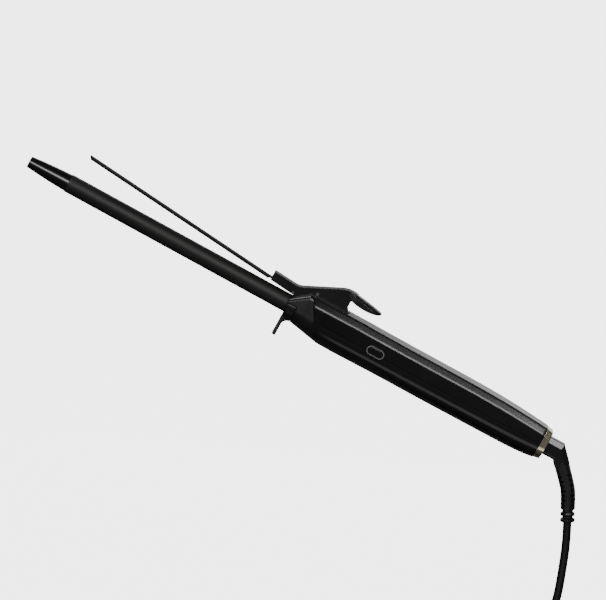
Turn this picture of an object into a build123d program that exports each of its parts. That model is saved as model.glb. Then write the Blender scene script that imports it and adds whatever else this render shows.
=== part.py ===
from build123d import *
from math import cos, radians, sin, tan
import os

os.makedirs("parts", exist_ok=True)

# Curling iron, held up by its grip. Millimetres, +Z up. The origin is on the iron's axis at the middle
# of the grip. s is the distance along the axis from there, towards the cord; h is the height above
# the axis, square to it; y is the same as Y. The power button is on the -Y side.
tilt = 28.7
axis_dir = Vector(cos(radians(tilt)), 0, -sin(radians(tilt)))
up_dir = Vector(sin(radians(tilt)), 0, cos(radians(tilt)))
iron_axis = Axis((0, 0, 0), axis_dir)

# Running, sliding and seating clearances
seat_gap = 0.1
seam_gap = 0.2
moving_gap = 0.4
pin_gap = 0.05

# Barrel and cool tip
barrel_radius = 6.5
barrel_wall = 1.0
barrel_front = -270.8
barrel_rear = -74.0
tip_length = 30.1
tip_front = barrel_front - tip_length
tip_front_radius = barrel_radius - 2.5
tip_middle_radius = barrel_radius - 0.8
tip_rear_radius = barrel_radius - 0.4
tip_middle = barrel_front - 9.5
spigot_length = 9.0

# Heater inside the barrel
heater_length = 130.0
heater_width = 7.0
heater_thickness = 2.4
spreader_front = barrel_front + 14.8
spreader_length = 142.0
thermistor_length = 6.0
thermistor_radius = 1.2
fuse_length = 11.0
fuse_radius = 2.0

# Stand, saddle and nose
stand_front = -101.4
stand_thickness = 2.4
stand_foot = -22.7
stand_foot_width = 13.0
stand_radius = barrel_radius + 3.6
stand_rear = -95.0
stand_top = 1.4
saddle_front = stand_rear + 1.0
saddle_rear = barrel_rear - 2.0
saddle_radius = barrel_radius + 1.7
saddle_top = 3.6
nose_lip = -102.2
nose_shoulder = -90.3
nose_corner = 3.2

# Handle. The seam between nose and handle leans: these are its s at the deck and at the bottom.
seam_top = -88.6
seam_bottom = -72.8
shell_wall = 1.9
facet_width = 2.7
facet_height = 5.2
ridge_round = 0.9
deck_height = 14.0
handle_half_width = 14.2
handle_depth = 14.5
handle_end = 93.5
tail_seam_top = 62.6
tail_seam_bottom = 67.8
tongue_wall = 1.2
# Outside of the handle: s, half width, deck height and bottom at each station
handle_stations = [
    (-92.0, handle_half_width - 2.9, deck_height, 3.5 - handle_depth),
    (-73.0, handle_half_width - 0.2, deck_height, -handle_depth),
    (-40.0, handle_half_width, deck_height, -handle_depth),
    (20.0, handle_half_width, deck_height - 0.1, 0.3 - handle_depth),
    (55.0, handle_half_width - 0.2, deck_height - 0.5, 0.6 - handle_depth),
    (75.0, handle_half_width - 0.9, deck_height - 1.5, 0.9 - handle_depth),
    (handle_end, handle_half_width - 2.6, deck_height - 2.9, 2.5 - handle_depth),
]

# Clip: lever, blade, hinge and spring, in the open rest position
pivot_s = -87.1
pivot_h = barrel_radius + 9.4
open_angle = 5.1
hinge_pin_radius = 1.0
lever_half_width = 5.0
lever_wall = 1.4
lever_top_wall = 1.5
lever_front = -119.5
lever_end = -42.2
lever_waist = -100.2
lever_crown = -68.7
paddle_half_width = 7.2
paddle_dome = 12.9
paddle_wall = 1.6
paddle_front = -62.0
skirt_rear = -64.8
skirt_flare = 2.2
blade_tip = barrel_front + 4.1
blade_radius = barrel_radius + 0.4
blade_thickness = 0.6
blade_half_angle = 41.0
blade_lift = 0.75
tang_half_width = 3.4
tang_rear = -105.0
rivet_s = -102.1
rivet_h = pivot_h - 7.2
rivet_radius = 0.8
ear_half_gap = 2.4
ear_thickness = 1.0
ear_radius = 1.8
bracket_front = -97.0
bracket_rear = -78.5
bracket_thickness = 1.0
bracket_screw_radius = 1.1
spring_wire = 0.3
spring_radius = 1.5
spring_turns = 5

# Button, bezel and electronics
button_s = -34.1
button_h = 1.0
button_length = 12.9
button_height = 6.3
bezel_width = 0.7
button_travel = 0.6
board_front = -52.0
board_rear = 30.0
board_half_height = 8.0
board_thickness = 1.6
board_y = -5.0
switch_size = 6.0
switch_depth = 3.5
shell_screw_s = 71.4
shell_screw_y = 5.0
shell_screw_radius = 1.3

# End ring, swivel, elbow and strain relief
ring_front = handle_end + seam_gap
ring_length = 4.5
ring_rear = ring_front + ring_length
housing_length = 16.9
housing_rear = handle_end - seat_gap
housing_front = housing_rear - housing_length
housing_radius = 7.9
housing_bore = 6.6
housing_wall = 1.8
flange_radius = housing_bore - 0.3
core_radius = housing_bore - 1.0
neck_radius = 4.8
elbow_front = ring_rear + 0.3
elbow_half_height = 6.5
elbow_half_width = 5.3
mitre_top = elbow_front + 10.9
mitre_bottom = elbow_front + 9.2
cord_diameter = 5.9
boot_radius = 4.9

# Cord. X and Z of its route, all at Y = 0. It leaves the strain relief, hangs, and bends on to the hank.
boot_start = (94.8, -52.5)
boot_corner = (101.2, -77.2)
boot_end = (100.9, -99.7)
leg_length = 9.0
cord_route = [
    (100.9, -100.0),
    (100.4, -114.0),
    (97.8, -133.0),
    (94.2, -154.0),
    (88.2, -170.0),
    (77.4, -181.5),
    (63.6, -186.9),
    (51.0, -187.25),
]

# Hank, tie and plug, lying in line with the iron on the surface below it
surface = -203.1
hank_run = 95.0
hank_rear = 48.0
fold_inner = 17.0
hank_layers = 3
tie_width = 16.0
tie_thickness = 1.2
plug_length = 35.0
plug_width = 35.3
plug_thickness = 13.7
plug_boot_length = 27.0
pin_radius = 2.0
pin_length = 19.0
pin_spacing = 19.0


def side(y=0):
    """Plane square to Y: its x runs along the iron towards the cord, its y is the height h."""
    return Plane(origin=(0, y, 0), x_dir=axis_dir, z_dir=(0, -1, 0))


def across(s):
    """Plane square to the iron's axis at s: its x is Y, its y is the height h."""
    return Plane(origin=axis_dir * s, x_dir=(0, 1, 0), z_dir=axis_dir)


def above(h):
    """Plane parallel to the iron's deck at the height h: its x runs along the iron, its y is Y."""
    return Plane(origin=up_dir * h, x_dir=axis_dir, z_dir=up_dir)


def at(s, y, h):
    return axis_dir * s + Vector(0, y, 0) + up_dir * h


def handle_section(s, half_width, deck, bottom, corner):
    """Section of the handle: flat deck, slanting facet, ridge, upright side and oval bottom."""
    with BuildSketch(across(s)) as section:
        with BuildLine():
            Polyline(
                (half_width, -1),
                (half_width, deck - facet_height),
                (half_width - facet_width, deck),
                (facet_width - half_width, deck),
                (-half_width, deck - facet_height),
                (-half_width, -1),
            )
            EllipticalCenterArc((0, -1), half_width, -1 - bottom, start_angle=180, arc_size=180)
        make_face()
        fillet(section.vertices().sort_by(Axis.Y)[-4:], corner)
    return section.sketch


def handle_body(inset):
    """Solid of the handle's outside, moved inwards by inset."""
    sections = [
        handle_section(s, half_width - inset, deck - inset, bottom + inset, ridge_round)
        for s, half_width, deck, bottom in handle_stations
    ]
    with BuildPart() as body:
        loft(sections)
    return body.part


def nose_section(s, half_width, top, bottom):
    """Section of the nose: rounded shoulders and an oval bottom."""
    with BuildSketch(across(s)) as section:
        with BuildLine():
            Polyline((half_width, -1), (half_width, top), (-half_width, top), (-half_width, -1))
            EllipticalCenterArc((0, -1), half_width, -1 - bottom, start_angle=180, arc_size=180)
        make_face()
        fillet(section.vertices().sort_by(Axis.Y)[-2:], nose_corner)
    return section.sketch


def seam_s(h):
    """Where the seam between nose and handle lies at the height h."""
    return seam_top + (deck_height - h) * (seam_bottom - seam_top) / (deck_height + handle_depth)


def tail_seam_s(h):
    """Where the seam in front of the tail cover lies at the height h."""
    return tail_seam_top - h * (tail_seam_bottom - tail_seam_top) / handle_depth


def slab(points):
    """Block over the whole width of the iron with the given outline, in s and h."""
    with BuildPart() as block:
        with BuildSketch(side()):
            Polygon(*points, align=None)
        extrude(amount=2 * handle_half_width, both=True)
    return block.part


def stadium(plane, length, height, depth):
    """Block with round ends, lying along the iron, from the plane inwards."""
    with BuildPart() as block:
        with BuildSketch(plane):
            with Locations((button_s, button_h)):
                SlotOverall(length, height)
        extrude(amount=-depth)
    return block.part


def wire(points, radius, bend):
    """Round wire along straight runs joined by arcs."""
    with BuildPart() as strand:
        with BuildLine() as path:
            FilletPolyline(*points, radius=bend)
        with BuildSketch(Plane(origin=path.line @ 0, z_dir=path.line % 0)):
            Circle(radius)
        sweep(path=path.line)
    return strand.part


def bend_radii(points):
    """Radius of each arc: 0.45 of the shorter run, divided by the tangent of half the turn."""
    corners = [Vector(*point) for point in points]
    radii = []
    for before, corner, after in zip(corners, corners[1:], corners[2:]):
        turn = (corner - before).get_angle(after - corner)
        shorter = min((corner - before).length, (after - corner).length)
        radii.append(0.45 * shorter / tan(radians(turn) / 2))
    return radii


# --- Barrel and what it holds ---

barrel_bore = barrel_radius - barrel_wall

with BuildPart() as cool_tip:
    with BuildSketch(side()):
        with BuildLine():
            Polyline((tip_front, 0), (tip_front, tip_front_radius - 0.3), (tip_front + 0.3, tip_front_radius))
            ThreePointArc(
                (tip_front + 0.3, tip_front_radius),
                (tip_middle, tip_middle_radius),
                (barrel_front, tip_rear_radius),
            )
            Polyline(
                (barrel_front, tip_rear_radius),
                (barrel_front, barrel_bore - seat_gap),
                (barrel_front + spigot_length, barrel_bore - seat_gap),
                (barrel_front + spigot_length, 0),
                (tip_front, 0),
            )
        make_face()
    revolve(axis=iron_axis)
cool_tip.part.label = "cool_tip"
export_step(cool_tip.part, "parts/cool_tip.step")

with BuildPart() as barrel_tube:
    with BuildSketch(across(barrel_front)):
        Circle(barrel_radius)
        Circle(barrel_bore, mode=Mode.SUBTRACT)
    extrude(amount=barrel_rear - barrel_front)
barrel_tube.part.label = "barrel_tube"
export_step(barrel_tube.part, "parts/barrel_tube.step")

heater_front = spreader_front + 3
heater_rear = heater_front + heater_length
with BuildPart() as heater_core:
    with BuildSketch(across(heater_front)):
        Rectangle(heater_width, heater_thickness)
    extrude(amount=heater_length)
heater_core.part.label = "heater_core"
export_step(heater_core.part, "parts/heater_core.step")

with BuildPart() as heat_spreader_upper:
    with BuildSketch(across(spreader_front)):
        Circle(barrel_bore - seat_gap)
        with Locations((0, heater_thickness / 2)):
            Rectangle(2 * barrel_radius, barrel_radius, align=(Align.CENTER, Align.MIN), mode=Mode.INTERSECT)
    extrude(amount=spreader_length)
heat_spreader_upper.part.label = "heat_spreader_upper"
export_step(heat_spreader_upper.part, "parts/heat_spreader_upper.step")

with BuildPart() as heat_spreader_lower:
    mirror(heat_spreader_upper.part, about=above(0))
heat_spreader_lower.part.label = "heat_spreader_lower"
export_step(heat_spreader_lower.part, "parts/heat_spreader_lower.step")

with BuildPart() as thermistor:
    with BuildSketch(across(heater_rear + 0.5)):
        Circle(heater_thickness / 2 - pin_gap)
    extrude(amount=thermistor_length)
thermistor.part.label = "thermistor"
export_step(thermistor.part, "parts/thermistor.step")

with BuildPart() as thermal_fuse:
    with BuildSketch(across(spreader_front + spreader_length + 1)):
        with Locations((0, fuse_radius + seat_gap - barrel_bore)):
            Circle(fuse_radius)
    extrude(amount=fuse_length)
thermal_fuse.part.label = "thermal_fuse"
export_step(thermal_fuse.part, "parts/thermal_fuse.step")

# --- Stand, saddle and nose ---

with BuildPart() as stand_collar:
    with BuildSketch(across(stand_front)):
        Circle(stand_radius)
        with BuildLine():
            Polyline(
                (-stand_foot_width / 2 + 1.5, 0),
                (-stand_foot_width / 2, stand_foot),
                (stand_foot_width / 2, stand_foot),
                (stand_foot_width / 2 - 1.5, 0),
                close=True,
            )
        make_face()
    extrude(amount=stand_thickness)
    with BuildSketch(across(stand_front)):
        Circle(stand_radius)
    extrude(amount=stand_rear - stand_front)
    web_start = stand_front + stand_thickness
    with BuildSketch(side()):
        with BuildLine():
            Polyline((web_start, -stand_radius - 4), (web_start, -stand_radius + 2), (stand_rear, -stand_radius + 2))
            Line((stand_rear, -stand_radius + 2), (stand_rear, -stand_radius + 0.1))
            ThreePointArc(
                (stand_rear, -stand_radius + 0.1),
                (web_start + 1.3, -stand_radius - 1.2),
                (web_start, -stand_radius - 4),
            )
        make_face()
    extrude(amount=stand_foot_width / 2 - 2.5, both=True)
    with BuildSketch(across(stand_front)):
        Circle(barrel_radius + seat_gap)
        with Locations((0, stand_top)):
            Rectangle(4 * stand_radius, 2 * stand_radius, align=(Align.CENTER, Align.MIN))
    extrude(amount=stand_rear - stand_front, mode=Mode.SUBTRACT)
stand_collar.part.label = "stand_collar"
export_step(stand_collar.part, "parts/stand_collar.step")

with BuildPart() as barrel_saddle:
    with BuildSketch(across(saddle_front)):
        Circle(saddle_radius)
        Circle(barrel_radius + seat_gap, mode=Mode.SUBTRACT)
        with Locations((0, saddle_top)):
            Rectangle(
                4 * saddle_radius, 2 * saddle_radius, align=(Align.CENTER, Align.MIN), mode=Mode.SUBTRACT
            )
    extrude(amount=saddle_rear - saddle_front)
barrel_saddle.part.label = "barrel_saddle"
export_step(barrel_saddle.part, "parts/barrel_saddle.step")

slot_half_width = lever_half_width + moving_gap
slot_rear = skirt_rear + skirt_flare + 0.8
slot_floor = saddle_top
lever_slot = [
    (lever_front, slot_floor),
    (lever_front, 3 * deck_height),
    (slot_rear, 3 * deck_height),
    (slot_rear, slot_floor),
]
far_front, far_rear, far_up, far_down = -200, 200, 40, -40
nose_stations = [
    (nose_lip, 9.2, 4.8, -8.6),
    (nose_shoulder, 11.6, deck_height, -11.2),
    (-68.0, handle_half_width + 0.4, deck_height, -15.3),
]
with BuildPart() as nose_cone:
    loft([nose_section(*station) for station in nose_stations], ruled=True)
    add(
        slab(
            [
                (seam_s(far_up) - seam_gap / 2, far_up),
                (far_rear, far_up),
                (far_rear, far_down),
                (seam_s(far_down) - seam_gap / 2, far_down),
            ]
        ),
        mode=Mode.SUBTRACT,
    )
    add(
        slab(
            [
                (far_front, far_down),
                (stand_rear + seat_gap, far_down),
                (stand_rear + seat_gap, stand_top + seat_gap),
                (far_front, stand_top + seat_gap),
            ]
        ),
        mode=Mode.SUBTRACT,
    )
    with BuildSketch(across(far_front)):
        Circle(barrel_radius + seat_gap)
    extrude(amount=far_rear - far_front, mode=Mode.SUBTRACT)
    with BuildSketch(across(saddle_front - seat_gap)):
        Circle(saddle_radius + seat_gap)
    extrude(amount=far_rear, mode=Mode.SUBTRACT)
    with BuildSketch(side()):
        Polygon(*lever_slot, align=None)
    extrude(amount=slot_half_width, both=True, mode=Mode.SUBTRACT)
nose_cone.part.label = "nose_cone"
export_step(nose_cone.part, "parts/nose_cone.step")

# --- Handle shells ---

outside = handle_body(0)
cavity = handle_body(shell_wall)
tongue_outside = handle_body(shell_wall + seat_gap)
tongue_inside = handle_body(shell_wall + seat_gap + tongue_wall)
behind_nose = [
    (seam_s(far_up) + seam_gap / 2, far_up),
    (far_rear, far_up),
    (far_rear, far_down),
    (seam_s(far_down) + seam_gap / 2, far_down),
]
upper_half = [(far_front, seam_gap / 2), (far_front, far_up), (far_rear, far_up), (far_rear, seam_gap / 2)]
lower_half = [(far_front, -seam_gap / 2), (far_rear, -seam_gap / 2), (far_rear, far_down), (far_front, far_down)]
tail_top = tail_seam_s(-seam_gap / 2)
tail_down = tail_seam_s(far_down)
before_tail = [
    (far_front, -seam_gap / 2),
    (tail_top - seam_gap / 2, -seam_gap / 2),
    (tail_down - seam_gap / 2, far_down),
    (far_front, far_down),
]
behind_tail_seam = [
    (tail_top + seam_gap / 2, -seam_gap / 2),
    (far_rear, -seam_gap / 2),
    (far_rear, far_down),
    (tail_down + seam_gap / 2, far_down),
]
button_hole = stadium(
    side(-2 * handle_half_width), button_length + 2 * seat_gap, button_height + 2 * seat_gap, 2 * handle_half_width
)
screw_places = [(shell_screw_s, -shell_screw_y), (shell_screw_s, shell_screw_y)]
boss_radius = shell_screw_radius + 1.2
screw_head_radius = shell_screw_radius + 0.9
screw_head_h = -5.0
screw_tip_h = 6.0

with BuildPart() as handle_upper_shell:
    add(outside)
    add(cavity, mode=Mode.SUBTRACT)
    add(slab(behind_nose), mode=Mode.INTERSECT)
    add(slab(upper_half), mode=Mode.INTERSECT)
    with BuildSketch(above(seam_gap / 2)):
        with Locations(*screw_places):
            Circle(boss_radius)
    extrude(until=Until.NEXT)
    with BuildSketch(above(0)):
        with Locations(*screw_places):
            Circle(shell_screw_radius + pin_gap)
    extrude(amount=screw_tip_h + 0.5, mode=Mode.SUBTRACT)
    with BuildSketch(side()):
        Polygon(*lever_slot, align=None)
    extrude(amount=slot_half_width, both=True, mode=Mode.SUBTRACT)
    add(button_hole, mode=Mode.SUBTRACT)
handle_upper_shell.part.label = "handle_upper_shell"
export_step(handle_upper_shell.part, "parts/handle_upper_shell.step")

tongue_front = tail_seam_top - 6
tongue_rear = handle_end - 1.5
rib_thickness = 1.8
board_rib_places = [board_front + 3, board_rear - 5]


def cross_rib(s, top, hollow=None):
    """Rib square to the axis that fills the lower shell up to the height top, less the hollow."""
    with BuildPart() as rib:
        add(handle_body(shell_wall / 2))
        add(
            slab([(s, top), (s + rib_thickness, top), (s + rib_thickness, far_down), (s, far_down)]),
            mode=Mode.INTERSECT,
        )
        if hollow:
            add(hollow, mode=Mode.SUBTRACT)
    return rib.part


with BuildPart() as screw_bosses:
    with BuildSketch(above(-seam_gap / 2)):
        with Locations(*screw_places):
            Circle(screw_head_radius + 0.8)
    extrude(amount=-handle_depth)
    add(tongue_outside, mode=Mode.INTERSECT)

with BuildPart() as tongue:
    add(tongue_outside)
    add(tongue_inside, mode=Mode.SUBTRACT)
    add(
        slab(
            [
                (tongue_front, -seam_gap / 2),
                (tongue_rear, -seam_gap / 2),
                (tongue_rear, far_down),
                (tongue_front, far_down),
            ]
        ),
        mode=Mode.INTERSECT,
    )
    add(screw_bosses.part)

with BuildPart() as handle_lower_shell:
    add(outside)
    add(cavity, mode=Mode.SUBTRACT)
    add(slab(behind_nose), mode=Mode.INTERSECT)
    add(slab(before_tail), mode=Mode.INTERSECT)
    add(cross_rib(tongue_front, -seam_gap / 2, tongue_inside))
    for rib_s in board_rib_places:
        add(cross_rib(rib_s, -board_half_height - seat_gap))
    add(tongue.part)
    with BuildSketch(above(0)):
        with Locations(*screw_places):
            Circle(shell_screw_radius + seat_gap)
    extrude(amount=-2 * handle_depth, mode=Mode.SUBTRACT)
    with BuildSketch(above(screw_head_h)):
        with Locations(*screw_places):
            Circle(screw_head_radius + seat_gap)
    extrude(amount=-2 * handle_depth, mode=Mode.SUBTRACT)
    add(button_hole, mode=Mode.SUBTRACT)
handle_lower_shell.part.label = "handle_lower_shell"
export_step(handle_lower_shell.part, "parts/handle_lower_shell.step")

with BuildPart() as tail_cover:
    add(outside)
    add(cavity, mode=Mode.SUBTRACT)
    add(slab(behind_tail_seam), mode=Mode.INTERSECT)
tail_cover.part.label = "tail_cover"
export_step(tail_cover.part, "parts/tail_cover.step")

with BuildPart() as shell_screws:
    with BuildSketch(above(screw_head_h)):
        with Locations(*screw_places):
            Circle(shell_screw_radius)
    extrude(amount=screw_tip_h - screw_head_h)
    with BuildSketch(above(screw_head_h)):
        with Locations(*screw_places):
            Circle(screw_head_radius)
    extrude(amount=-1.6)
shell_screws.part.label = "shell_screws"
export_step(shell_screws.part, "parts/shell_screws.step")

# --- Hinge bracket, pin and spring ---

ear_outside = ear_half_gap + ear_thickness
bracket_floor = barrel_radius + seat_gap
bracket_screw_places = [(bracket_front + 2.4, 0), (bracket_rear - 1.8, 0)]
with BuildPart() as hinge_bracket:
    with BuildSketch(side()):
        Polygon(
            (bracket_front, bracket_floor),
            (bracket_rear, bracket_floor),
            (bracket_rear, bracket_floor + bracket_thickness),
            (bracket_front, bracket_floor + bracket_thickness),
            align=None,
        )
    extrude(amount=ear_outside, both=True)
    with BuildSketch(side(-ear_half_gap), side(ear_outside)):
        Polygon(
            (bracket_front + 4, bracket_floor),
            (bracket_rear - 4, bracket_floor),
            (pivot_s + ear_radius, pivot_h),
            (pivot_s - ear_radius, pivot_h),
            align=None,
        )
        with Locations((pivot_s, pivot_h)):
            Circle(ear_radius)
            Circle(hinge_pin_radius + pin_gap, mode=Mode.SUBTRACT)
    extrude(amount=ear_thickness)
    with BuildSketch(above(0)):
        with Locations(*bracket_screw_places):
            Circle(bracket_screw_radius + pin_gap)
    extrude(amount=pivot_h, mode=Mode.SUBTRACT)
hinge_bracket.part.label = "hinge_bracket"
export_step(hinge_bracket.part, "parts/hinge_bracket.step")

with BuildPart() as bracket_screws:
    with BuildSketch(above(bracket_floor + bracket_thickness)):
        with Locations(*bracket_screw_places):
            Circle(bracket_screw_radius + 0.7)
    extrude(amount=0.8)
    with BuildSketch(above(bracket_floor)):
        with Locations(*bracket_screw_places):
            Circle(bracket_screw_radius)
    extrude(amount=bracket_thickness)
bracket_screws.part.label = "bracket_screws"
export_step(bracket_screws.part, "parts/bracket_screws.step")

with BuildPart() as hinge_pin:
    with BuildSketch(side(-lever_half_width)):
        with Locations((pivot_s, pivot_h)):
            Circle(hinge_pin_radius)
    extrude(amount=-2 * lever_half_width)
hinge_pin.part.label = "hinge_pin"
export_step(hinge_pin.part, "parts/hinge_pin.step")

coil_length = 2 * (ear_half_gap - seat_gap - spring_wire)
coil_start = at(pivot_s, -coil_length / 2, pivot_h)
with BuildPart() as lever_spring:
    with BuildLine() as coil:
        Helix(
            pitch=coil_length / spring_turns,
            height=coil_length,
            radius=spring_radius,
            center=coil_start,
            direction=(0, 1, 0),
        )
    with BuildSketch(Plane(origin=coil.line @ 0, z_dir=coil.line % 0)):
        Circle(spring_wire)
    sweep(path=coil.line, is_frenet=True)
lever_spring.part.label = "lever_spring"
export_step(lever_spring.part, "parts/lever_spring.step")

# --- Clip: lever, blade and rivet ---

lever_outline = [
    (lever_front, pivot_h - 7.0),
    (lever_front, pivot_h - 0.5),
    (lever_waist, pivot_h - 1.9),
    (lever_crown, pivot_h + 13.4),
    (paddle_front, pivot_h + 12.2),
    (paddle_front, pivot_h + 7.1),
    (skirt_rear, pivot_h + 6.8),
    (skirt_rear, pivot_h + 1.3),
    (skirt_rear + skirt_flare, pivot_h - 1.3),
    (skirt_rear + skirt_flare, pivot_h - 6.3),
    (skirt_rear - 1.5, pivot_h - 7.0),
    (-101.0, pivot_h - 8.6),
]
lever_channel = [
    (lever_front - 1, pivot_h - 10.9),
    (lever_front - 1, pivot_h - 3.9),
    (lever_front + 1.6, pivot_h - 3.9),
    (lever_front + 1.6, pivot_h - 0.7 - lever_top_wall),
    (lever_waist - 0.4, pivot_h - 2.1 - lever_top_wall),
    (lever_crown - 0.5, pivot_h + 12.3 - lever_top_wall),
    (skirt_rear - lever_wall, pivot_h + 12.3 - lever_top_wall),
    (skirt_rear - lever_wall, pivot_h - 10.9),
]
paddle_root = skirt_rear - 3.0
paddle_top = pivot_h + 12.35
paddle_tip_top = pivot_h + 8.4
paddle_tip_under = pivot_h + 7.3
paddle_dir = (at(lever_end, 0, paddle_tip_top) - at(paddle_root, 0, paddle_top)).normalized()


def paddle_outline(edge):
    """Plan of the thumb paddle, drawn in by edge."""
    half = paddle_half_width - edge
    front = paddle_root + 4 * edge
    with BuildSketch(above(pivot_h)) as section:
        with BuildLine():
            Line((front, -lever_half_width + edge), (paddle_front + edge, -half + 0.6))
            Line((paddle_front + edge, -half + 0.6), (lever_end - 7, -half))
            ThreePointArc((lever_end - 7, -half), (lever_end - edge, 0), (lever_end - 7, half))
            Line((lever_end - 7, half), (paddle_front + edge, half - 0.6))
            Line((paddle_front + edge, half - 0.6), (front, lever_half_width - edge))
            Line((front, lever_half_width - edge), (front, edge - lever_half_width))
        make_face()
    return section.sketch


def paddle_side(lift, deep):
    """Side of the paddle: crowned above, hollow below. lift lowers the top, deep lowers the underside."""
    with BuildSketch(side()) as section:
        with BuildLine():
            ThreePointArc(
                (paddle_root, paddle_top - lift),
                (-55.0, pivot_h + 11.05 - lift),
                (lever_end, paddle_tip_top - lift),
            )
            Line((lever_end, paddle_tip_top - lift), (lever_end, paddle_tip_under - deep))
            ThreePointArc(
                (lever_end, paddle_tip_under - deep),
                (-54.5, pivot_h + 5.4 - deep),
                (skirt_rear, pivot_h + 6.9 - deep),
            )
            Line((skirt_rear, pivot_h + 6.9 - deep), (paddle_root, pivot_h + 8.6 - deep))
            Line((paddle_root, pivot_h + 8.6 - deep), (paddle_root, paddle_top - lift))
        make_face()
    return section.sketch


with BuildPart() as paddle_hollow:
    extrude(paddle_outline(paddle_wall), amount=20)
    extrude(paddle_side(paddle_wall + 1.1, 4.0), amount=2 * paddle_half_width, both=True, mode=Mode.INTERSECT)
    add(slab([(paddle_front + 1.2, 0), (paddle_front + 1.2, 60), (0, 60), (0, 0)]), mode=Mode.INTERSECT)

with BuildPart() as paddle:
    extrude(paddle_outline(0), amount=20)
    extrude(paddle_side(0, 0), amount=2 * paddle_half_width, both=True, mode=Mode.INTERSECT)
    dome_start = at(paddle_root, 0, paddle_top + 0.7) - up_dir * paddle_dome
    with BuildSketch(Plane(origin=dome_start - paddle_dir * 2, x_dir=(0, 1, 0), z_dir=paddle_dir)):
        Circle(paddle_dome)
    extrude(amount=40, mode=Mode.INTERSECT)
    add(paddle_hollow.part, mode=Mode.SUBTRACT)

with BuildPart() as thumb_lever:
    with BuildSketch(side()) as lever_side:
        Polygon(*lever_outline, align=None)
        fillet(lever_side.vertices().sort_by_distance((lever_waist, pivot_h - 1.9))[0], 12)
        fillet(lever_side.vertices().sort_by_distance((lever_crown, pivot_h + 13.4))[0], 19)
        fillet(lever_side.vertices().sort_by_distance((skirt_rear, pivot_h + 6.8))[0], 1.2)
    extrude(amount=lever_half_width, both=True)
    with BuildSketch(side()):
        Polygon(*lever_channel, align=None)
    extrude(amount=lever_half_width - lever_wall, both=True, mode=Mode.SUBTRACT)
    with BuildSketch(side(lever_half_width)):
        with Locations((pivot_s, pivot_h)):
            Circle(hinge_pin_radius + pin_gap)
        with Locations((rivet_s, rivet_h)):
            Circle(rivet_radius + pin_gap)
    extrude(amount=2 * lever_half_width, mode=Mode.SUBTRACT)
    add(paddle.part)
thumb_lever.part.label = "thumb_lever"
export_step(thumb_lever.part, "parts/thumb_lever.step")


def clip_point(x, y, h):
    """Point given as the clip sees it shut: x and h from the pivot, along and square to the iron."""
    shut = axis_dir * x + up_dir * h
    turned = shut.rotate(Axis((0, 0, 0), (0, 1, 0)), open_angle)
    return axis_dir * pivot_s + up_dir * pivot_h + turned + Vector(0, y, 0)


clip_dir = axis_dir.rotate(Axis((0, 0, 0), (0, 1, 0)), open_angle)
clip_up = up_dir.rotate(Axis((0, 0, 0), (0, 1, 0)), open_angle)
blade_axis_h = blade_lift - pivot_h
blade_front_x = blade_tip - pivot_s
tang_rear_x = tang_rear - pivot_s
tang_front_x = lever_front - 0.6 - pivot_s
blade_half_width = blade_radius * sin(radians(blade_half_angle))
with BuildPart() as clip_blade:
    with BuildSketch(Plane(origin=clip_point(blade_front_x, 0, blade_axis_h), x_dir=(0, 1, 0), z_dir=clip_dir)):
        with BuildLine():
            outer = CenterArc((0, 0), blade_radius + blade_thickness, 90 - blade_half_angle, 2 * blade_half_angle)
            inner = CenterArc((0, 0), blade_radius, 90 - blade_half_angle, 2 * blade_half_angle)
            Line(outer @ 0, inner @ 0)
            Line(outer @ 1, inner @ 1)
        make_face()
    extrude(amount=tang_rear_x - blade_front_x)
    with BuildSketch(Plane(origin=clip_point(0, 0, blade_axis_h), x_dir=clip_dir, z_dir=clip_up)):
        with BuildLine():
            Polyline(
                (blade_front_x + 5, -6),
                (tang_front_x - 2, -6),
                (tang_front_x, -tang_half_width),
                (tang_rear_x, -tang_half_width),
                (tang_rear_x, tang_half_width),
                (tang_front_x, tang_half_width),
                (tang_front_x - 2, 6),
                (blade_front_x + 5, 6),
            )
            ThreePointArc((blade_front_x + 5, 6), (blade_front_x, 0), (blade_front_x + 5, -6))
        make_face()
    extrude(amount=2 * blade_radius, mode=Mode.INTERSECT)
    flap_y = tang_half_width - blade_thickness
    flap_plane = Plane(origin=clip_point(0, 0, 0), x_dir=clip_dir, z_dir=(0, -1, 0))
    with BuildSketch(flap_plane.offset(-tang_half_width), flap_plane.offset(flap_y)):
        Polygon(
            (tang_rear_x - 6, -9.3),
            (tang_rear_x - 6, -7.6),
            (tang_rear_x + 5, -7.2),
            (tang_rear_x + 5, -9.6),
            align=None,
        )
    extrude(amount=blade_thickness)
    with BuildSketch(side(lever_half_width)):
        with Locations((rivet_s, rivet_h)):
            Circle(rivet_radius + pin_gap)
    extrude(amount=2 * lever_half_width, mode=Mode.SUBTRACT)
clip_blade.part.label = "clip_blade"
export_step(clip_blade.part, "parts/clip_blade.step")

with BuildPart() as blade_rivet:
    with BuildSketch(side(-lever_half_width)):
        with Locations((rivet_s, rivet_h)):
            Circle(rivet_radius)
    extrude(amount=-2 * lever_half_width)
blade_rivet.part.label = "blade_rivet"
export_step(blade_rivet.part, "parts/blade_rivet.step")

# --- Button and electronics ---

bezel_y = -handle_half_width - 0.2
bezel_depth = shell_wall - 0.1
opening_length = button_length - 2 * bezel_width
opening_height = button_height - 2 * bezel_width
with BuildPart() as button_bezel:
    add(stadium(side(bezel_y), button_length, button_height, bezel_depth))
    add(stadium(side(bezel_y), opening_length, opening_height, bezel_depth), mode=Mode.SUBTRACT)
button_bezel.part.label = "button_bezel"
export_step(button_bezel.part, "parts/button_bezel.step")

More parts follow.
